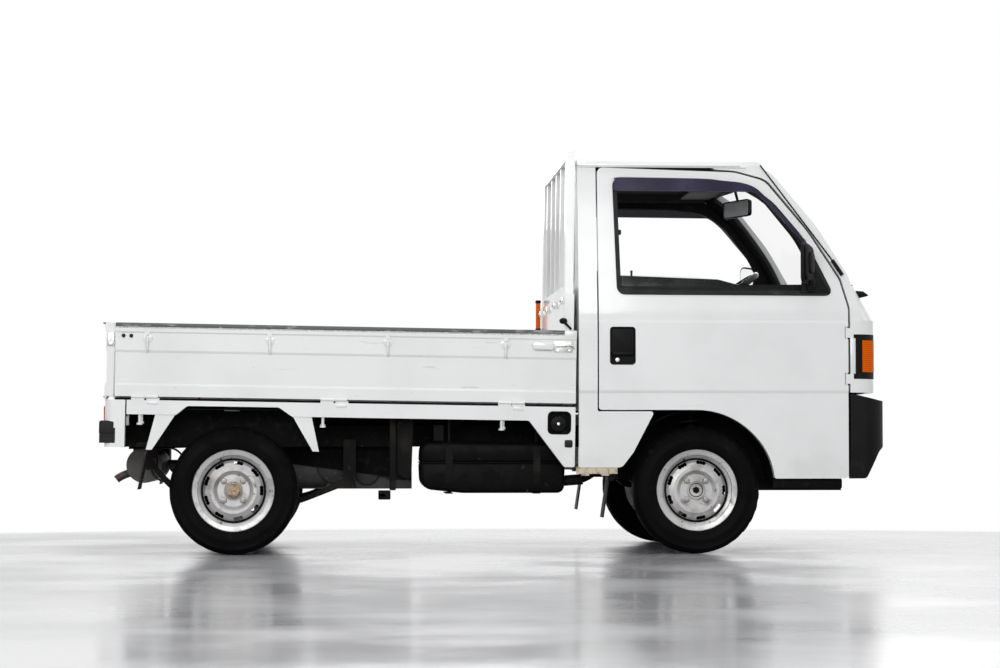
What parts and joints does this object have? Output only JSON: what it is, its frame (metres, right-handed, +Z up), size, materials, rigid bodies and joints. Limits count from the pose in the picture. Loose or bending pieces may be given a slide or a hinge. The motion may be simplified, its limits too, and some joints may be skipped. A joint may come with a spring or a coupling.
{
  "type": "kei truck",
  "caption": "Small cab-over pickup truck with a right-hand-drive cab, opening doors, a drop-side bed, a window guard frame and steered front wheels.",
  "frame": {"origin": "on the ground, half way along the truck and on its centreline", "axes": "+X forward, +Y to the truck's left, +Z up"},
  "size_m": [3.2949, 1.659, 1.675],
  "materials": {
    "body_white": "gloss paint, slightly weathered",
    "black_plastic": "grained, faded",
    "rubber": "matt",
    "tyre": "worn",
    "rim_silver": "silver paint with light rust",
    "glass": "clear",
    "amber_lens": "moulded lens",
    "red_lens": "moulded lens",
    "clear_lens": "moulded lens",
    "seat_vinyl": "grained vinyl",
    "interior_grey": "grained",
    "underbody_black": "matt, dusty, light rust",
    "engine_metal": "dull",
    "muffler_grey": "dull"
  },
  "bodies": {
    "truck_body": {"front_arms": "underbody_black", "rear_axle": "underbody_black", "leaf_springs": "underbody_black", "muffler": "muffler_grey", "engine_block": "engine_metal", "fuel_tank": "underbody_black", "chassis_frame": "underbody_black", "bed_floor": "body_white", "bed_skirts": "body_white", "rear_skirt": "body_white", "tail_lamps": "red_lens", "rear_buffers": "rubber", "headboard": "body_white", "guard_frame": "body_white", "rear_pillars": "body_white", "front_pillars": "body_white", "cab_back_wall": "body_white", "rear_window": "glass", "roof_panel": "body_white", "front_panel": "body_white", "lamp_surrounds": "black_plastic", "headlamps": "clear_lens", "turn_signals": "amber_lens", "front_bumper": "black_plastic", "windscreen": "glass", "cowl": "black_plastic", "wipers": "black_plastic", "cab_floor": "underbody_black", "dashboard": "interior_grey", "steering_column": "interior_grey", "seats": "seat_vinyl", "interior_mirror": "black_plastic", "antenna": "black_plastic", "mud_flaps": "rubber"},
    "door_right": {"door_panel_right": "body_white", "door_glass_right": "glass", "door_mirror_right": "black_plastic"},
    "door_left": {"door_panel_left": "body_white", "door_glass_left": "glass", "door_mirror_left": "black_plastic"},
    "gate_side_right": {"gate_right": "body_white"},
    "gate_side_left": {"gate_left": "body_white"},
    "gate_tail": {"tailgate": "body_white"},
    "hub_carrier_right": {"knuckle_right": "underbody_black"},
    "hub_carrier_left": {"knuckle_left": "underbody_black"},
    "wheel_front_right": {"tyre_front_right": "tyre", "rim_front_right": "rim_silver"},
    "wheel_front_left": {"tyre_front_left": "tyre", "rim_front_left": "rim_silver"},
    "wheel_rear_right": {"tyre_rear_right": "tyre", "rim_rear_right": "rim_silver"},
    "wheel_rear_left": {"tyre_rear_left": "tyre", "rim_rear_left": "rim_silver"},
    "hand_wheel": {"steering_wheel": "black_plastic"}
  },
  "joints": [
    {"name": "door_right_swing", "type": "hinge", "parent": "truck_body", "child": "door_right", "pos_m": [1.413, -0.6915, 0.8], "axis": [0, 0, 1], "range_deg": [0, 65]},
    {"name": "door_left_swing", "type": "hinge", "parent": "truck_body", "child": "door_left", "pos_m": [1.413, 0.6915, 0.8], "axis": [0, 0, -1], "range_deg": [0, 65]},
    {"name": "gate_right_fold", "type": "hinge", "parent": "truck_body", "child": "gate_side_right", "pos_m": [-0.699, -0.6905, 0.63243], "axis": [0.9999, 0, -0.0157], "range_deg": [0, 165]},
    {"name": "gate_left_fold", "type": "hinge", "parent": "truck_body", "child": "gate_side_left", "pos_m": [-0.699, 0.6905, 0.63243], "axis": [-0.9999, 0, 0.0157], "range_deg": [0, 165]},
    {"name": "tailgate_fold", "type": "hinge", "parent": "truck_body", "child": "gate_tail", "pos_m": [-1.64039, 0, 0.64721], "axis": [0, -1, 0], "range_deg": [0, 165]},
    {"name": "steer_right", "type": "hinge", "parent": "truck_body", "child": "hub_carrier_right", "pos_m": [0.7935, -0.535, 0.205], "axis": [0, 0.1673, 0.9859], "range_deg": [-33, 33]},
    {"name": "steer_left", "type": "hinge", "parent": "truck_body", "child": "hub_carrier_left", "pos_m": [0.7935, 0.535, 0.205], "axis": [0, -0.1673, 0.9859], "range_deg": [-33, 33]},
    {"name": "steering_wheel_turn", "type": "hinge", "parent": "truck_body", "child": "hand_wheel", "pos_m": [0.939, -0.33, 1.064], "axis": [-0.5736, 0, 0.8192], "range_deg": [-500, 500]},
    {"name": "wheel_front_right_spin", "type": "hinge", "parent": "hub_carrier_right", "child": "wheel_front_right", "pos_m": [0.7935, -0.6025, 0.262], "axis": [0, 1, 0], "continuous": true},
    {"name": "wheel_front_left_spin", "type": "hinge", "parent": "hub_carrier_left", "child": "wheel_front_left", "pos_m": [0.7935, 0.6025, 0.262], "axis": [0, 1, 0], "continuous": true},
    {"name": "wheel_rear_right_spin", "type": "hinge", "parent": "truck_body", "child": "wheel_rear_right", "pos_m": [-1.1065, -0.6025, 0.262], "axis": [0, 1, 0], "continuous": true},
    {"name": "wheel_rear_left_spin", "type": "hinge", "parent": "truck_body", "child": "wheel_rear_left", "pos_m": [-1.1065, 0.6025, 0.262], "axis": [0, 1, 0], "continuous": true}
  ],
  "couplings": [
    {"joint": "steer_left", "follows": "steer_right", "ratio": 1},
    {"joint": "steering_wheel_turn", "follows": "steer_right", "ratio": 15}
  ]
}
